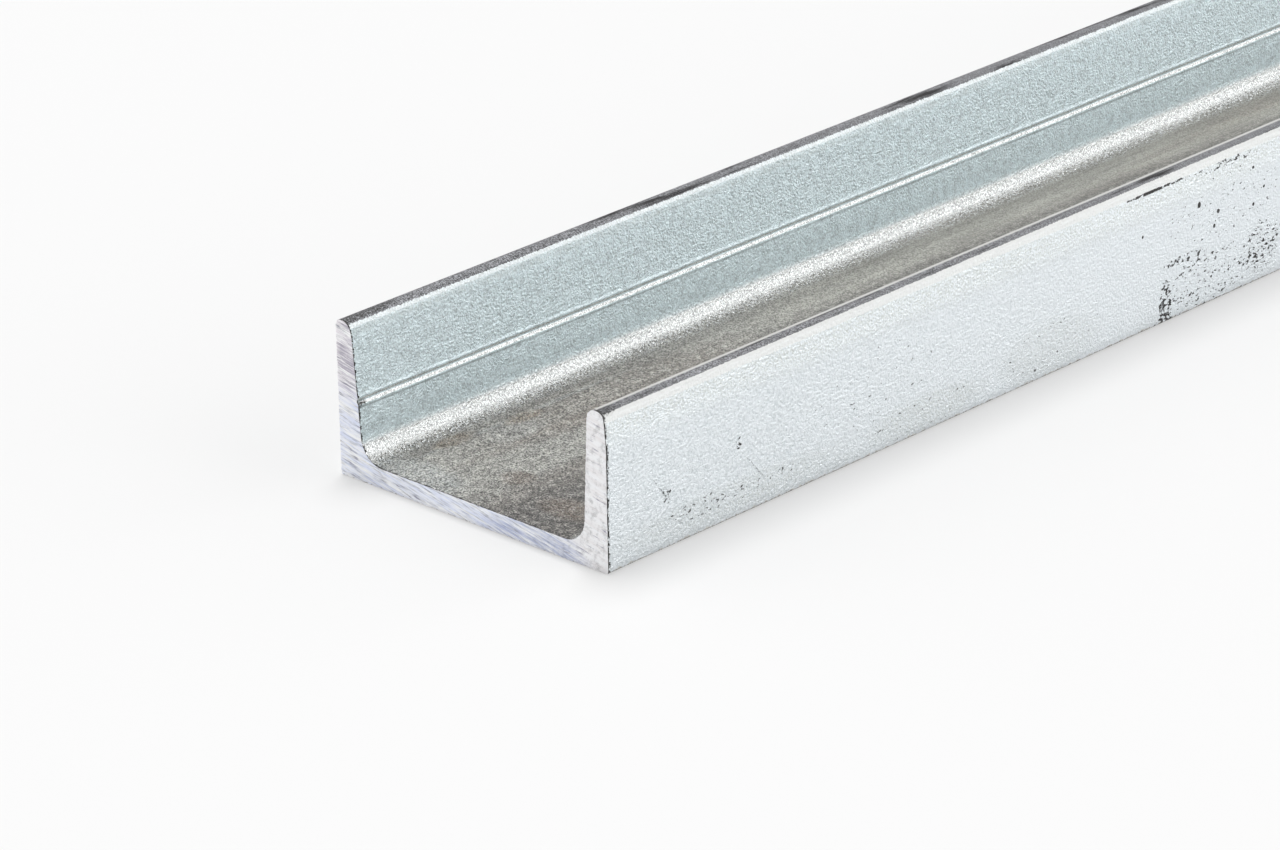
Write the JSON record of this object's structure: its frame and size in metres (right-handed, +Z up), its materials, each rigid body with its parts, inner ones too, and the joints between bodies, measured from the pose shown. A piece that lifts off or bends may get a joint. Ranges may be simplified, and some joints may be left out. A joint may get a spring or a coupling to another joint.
{
  "type": "galvanized steel u-channel",
  "caption": "Straight length of hot-rolled U-section steel with tapered flanges, galvanized and sawn square at its ends, used as a beam, rail or frame member.",
  "frame": {"origin": "on the underside of the web, at the middle of its length and width", "axes": "+Y along the length, +X across the section towards the flange with the plain inner face, +Z up from the web's underside to the toes"},
  "size_m": [0.12, 1, 0.055],
  "materials": {
    "zinc_coat": "galvanized zinc, satin and finely grained, with bare saw-cut ends"
  },
  "bodies": {
    "root": {"channel": "zinc_coat"}
  },
  "joints": []
}
